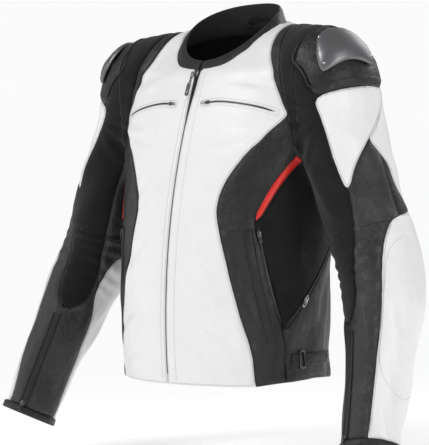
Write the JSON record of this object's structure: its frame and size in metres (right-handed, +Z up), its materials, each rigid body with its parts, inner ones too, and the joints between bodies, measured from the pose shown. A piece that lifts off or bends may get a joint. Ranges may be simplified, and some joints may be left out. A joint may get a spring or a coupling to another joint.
{
  "type": "leather riding jacket",
  "caption": "Leather motorcycle riding jacket with stand-up collar, zipped front, hinged sleeves, hard shoulder cups, vents, pockets and waist straps.",
  "frame": {"origin": "middle of the neck opening, between the shoulders", "axes": "+Z up along the worn back, -Y out of the front, +X towards the wearer's left arm"},
  "size_m": [0.8088, 0.3018, 0.723],
  "materials": {
    "white_leather": "smooth semi-gloss grain",
    "black_leather": "semi-gloss grain",
    "stretch_fabric": "matt elastic weave",
    "red_leather": "smooth semi-gloss",
    "lining_fabric": "matt knit",
    "zip_teeth": "satin",
    "zip_metal": "satin",
    "bright_metal": "polished",
    "cup_plastic": "metallic gloss",
    "foam": "matt"
  },
  "bodies": {
    "jacket": {"front_panel_left": "white_leather", "front_panel_right": "white_leather", "side_panel_left": "black_leather", "side_panel_right": "black_leather", "back_upper_panel": "white_leather", "back_lower_panel": "black_leather", "side_stripe_left": "red_leather", "side_stripe_right": "red_leather", "collar": "black_leather", "front_zip_chain": "zip_teeth", "zip_wind_flap": "lining_fabric", "chest_vent_zip_left": "zip_teeth", "chest_vent_zip_right": "zip_teeth", "pocket_zip_left": "zip_teeth", "pocket_zip_right": "zip_teeth", "side_zip_left": "zip_teeth", "side_zip_right": "zip_teeth", "pocket_welt_left": "black_leather", "pocket_welt_right": "black_leather", "waist_ring_left": "zip_metal", "waist_ring_right": "zip_metal", "body_lining": "lining_fabric", "protector_pocket": "lining_fabric", "back_protector": "foam", "trouser_zip_strip": "zip_teeth", "hanger_loop": "stretch_fabric", "shoulder_stretch_left": "stretch_fabric", "shoulder_stretch_right": "stretch_fabric"},
    "front_slider": {"front_zip_slider": "zip_metal"},
    "front_pull": {"front_zip_pull": "black_leather"},
    "vent_slider_left": {"chest_vent_slider_left": "zip_metal"},
    "pocket_slider_left": {"pocket_slider_left": "zip_metal"},
    "side_slider_left": {"side_slider_left": "bright_metal"},
    "waist_strap_left": {"waist_strap_left": "black_leather"},
    "upper_sleeve_left": {"upper_sleeve_outer_left": "white_leather", "upper_sleeve_inner_left": "stretch_fabric", "shoulder_cap_left": "black_leather", "shoulder_cup_left": "cup_plastic", "shoulder_armour_left": "foam", "elbow_stretch_left": "stretch_fabric"},
    "forearm_left": {"forearm_outer_left": "white_leather", "forearm_inner_left": "black_leather", "cuff_band_left": "black_leather", "elbow_armour_left": "foam"},
    "cuff_slider_left": {"cuff_slider_left": "bright_metal"},
    "vent_slider_right": {"chest_vent_slider_right": "zip_metal"},
    "pocket_slider_right": {"pocket_slider_right": "zip_metal"},
    "side_slider_right": {"side_slider_right": "bright_metal"},
    "waist_strap_right": {"waist_strap_right": "black_leather"},
    "upper_sleeve_right": {"upper_sleeve_outer_right": "white_leather", "upper_sleeve_inner_right": "stretch_fabric", "shoulder_cap_right": "black_leather", "shoulder_cup_right": "cup_plastic", "shoulder_armour_right": "foam", "elbow_stretch_right": "stretch_fabric"},
    "forearm_right": {"forearm_outer_right": "white_leather", "forearm_inner_right": "black_leather", "cuff_band_right": "black_leather", "elbow_armour_right": "foam"},
    "cuff_slider_right": {"cuff_slider_right": "bright_metal"}
  },
  "joints": [
    {"name": "shoulder_swing_left", "type": "hinge", "parent": "jacket", "child": "upper_sleeve_left", "pos_m": [0.178, 0.01, -0.085], "axis": [0, -1, 0], "range_deg": [0, 35], "deforming": ["shoulder_stretch_left"]},
    {"name": "shoulder_swing_right", "type": "hinge", "parent": "jacket", "child": "upper_sleeve_right", "pos_m": [-0.178, 0.01, -0.085], "axis": [0, 1, 0], "range_deg": [0, 35], "deforming": ["shoulder_stretch_right"]},
    {"name": "elbow_bend_left", "type": "hinge", "parent": "upper_sleeve_left", "child": "forearm_left", "pos_m": [0.302, -0.028, -0.399], "axis": [-0.9229, 0, -0.385], "range_deg": [-8, 50], "deforming": ["elbow_stretch_left"]},
    {"name": "elbow_bend_right", "type": "hinge", "parent": "upper_sleeve_right", "child": "forearm_right", "pos_m": [-0.302, -0.028, -0.399], "axis": [-0.9229, 0, 0.385], "range_deg": [-8, 50], "deforming": ["elbow_stretch_right"]},
    {"name": "front_zip", "type": "hinge", "parent": "jacket", "child": "front_slider", "pos_m": [0, 0.8345, -0.472], "axis": [1, 0, 0], "range_deg": [0, 27.2]},
    {"name": "front_pull_flip", "type": "hinge", "parent": "front_slider", "child": "front_pull", "pos_m": [0, -0.0953, -0.0853], "axis": [-1, 0, 0], "range_deg": [0, 150]},
    {"name": "chest_vent_zip_left", "type": "hinge", "parent": "jacket", "child": "vent_slider_left", "pos_m": [0.04613, 0.11338, -0.13931], "axis": [0.1294, 0.0054, 0.9916], "range_deg": [0, 28.5]},
    {"name": "chest_vent_zip_right", "type": "hinge", "parent": "jacket", "child": "vent_slider_right", "pos_m": [-0.04613, 0.11338, -0.13931], "axis": [0.1294, -0.0054, -0.9916], "range_deg": [0, 28.5]},
    {"name": "pocket_zip_left", "type": "hinge", "parent": "jacket", "child": "pocket_slider_left", "pos_m": [0.13299, 0.49026, -0.27907], "axis": [0.9909, 0.0061, 0.1344], "range_deg": [0, 12.5]},
    {"name": "pocket_zip_right", "type": "hinge", "parent": "jacket", "child": "pocket_slider_right", "pos_m": [-0.13299, 0.49026, -0.27907], "axis": [0.9909, -0.0061, -0.1344], "range_deg": [0, 12.5]},
    {"name": "side_zip_left", "type": "hinge", "parent": "jacket", "child": "side_slider_left", "pos_m": [-0.19405, -0.00358, -0.43231], "axis": [-0.0225, -0.7244, 0.689], "range_deg": [-6, 18.2]},
    {"name": "side_zip_right", "type": "hinge", "parent": "jacket", "child": "side_slider_right", "pos_m": [0.19405, -0.00358, -0.43231], "axis": [-0.0225, 0.7244, -0.689], "range_deg": [-6, 18.2]},
    {"name": "waist_strap_lift_left", "type": "hinge", "parent": "jacket", "child": "waist_strap_left", "pos_m": [0.1744, -0.027, -0.54], "axis": [0, 0, -1], "range_deg": [0, 110]},
    {"name": "waist_strap_lift_right", "type": "hinge", "parent": "jacket", "child": "waist_strap_right", "pos_m": [-0.1744, -0.027, -0.54], "axis": [0, 0, 1], "range_deg": [0, 110]},
    {"name": "cuff_zip_left", "type": "slide", "parent": "forearm_left", "child": "cuff_slider_left", "axis": [-0.1712, 0.3343, 0.9268], "range_m": [0, 0.14]},
    {"name": "cuff_zip_right", "type": "slide", "parent": "forearm_right", "child": "cuff_slider_right", "axis": [0.1712, 0.3343, 0.9268], "range_m": [0, 0.14]}
  ]
}
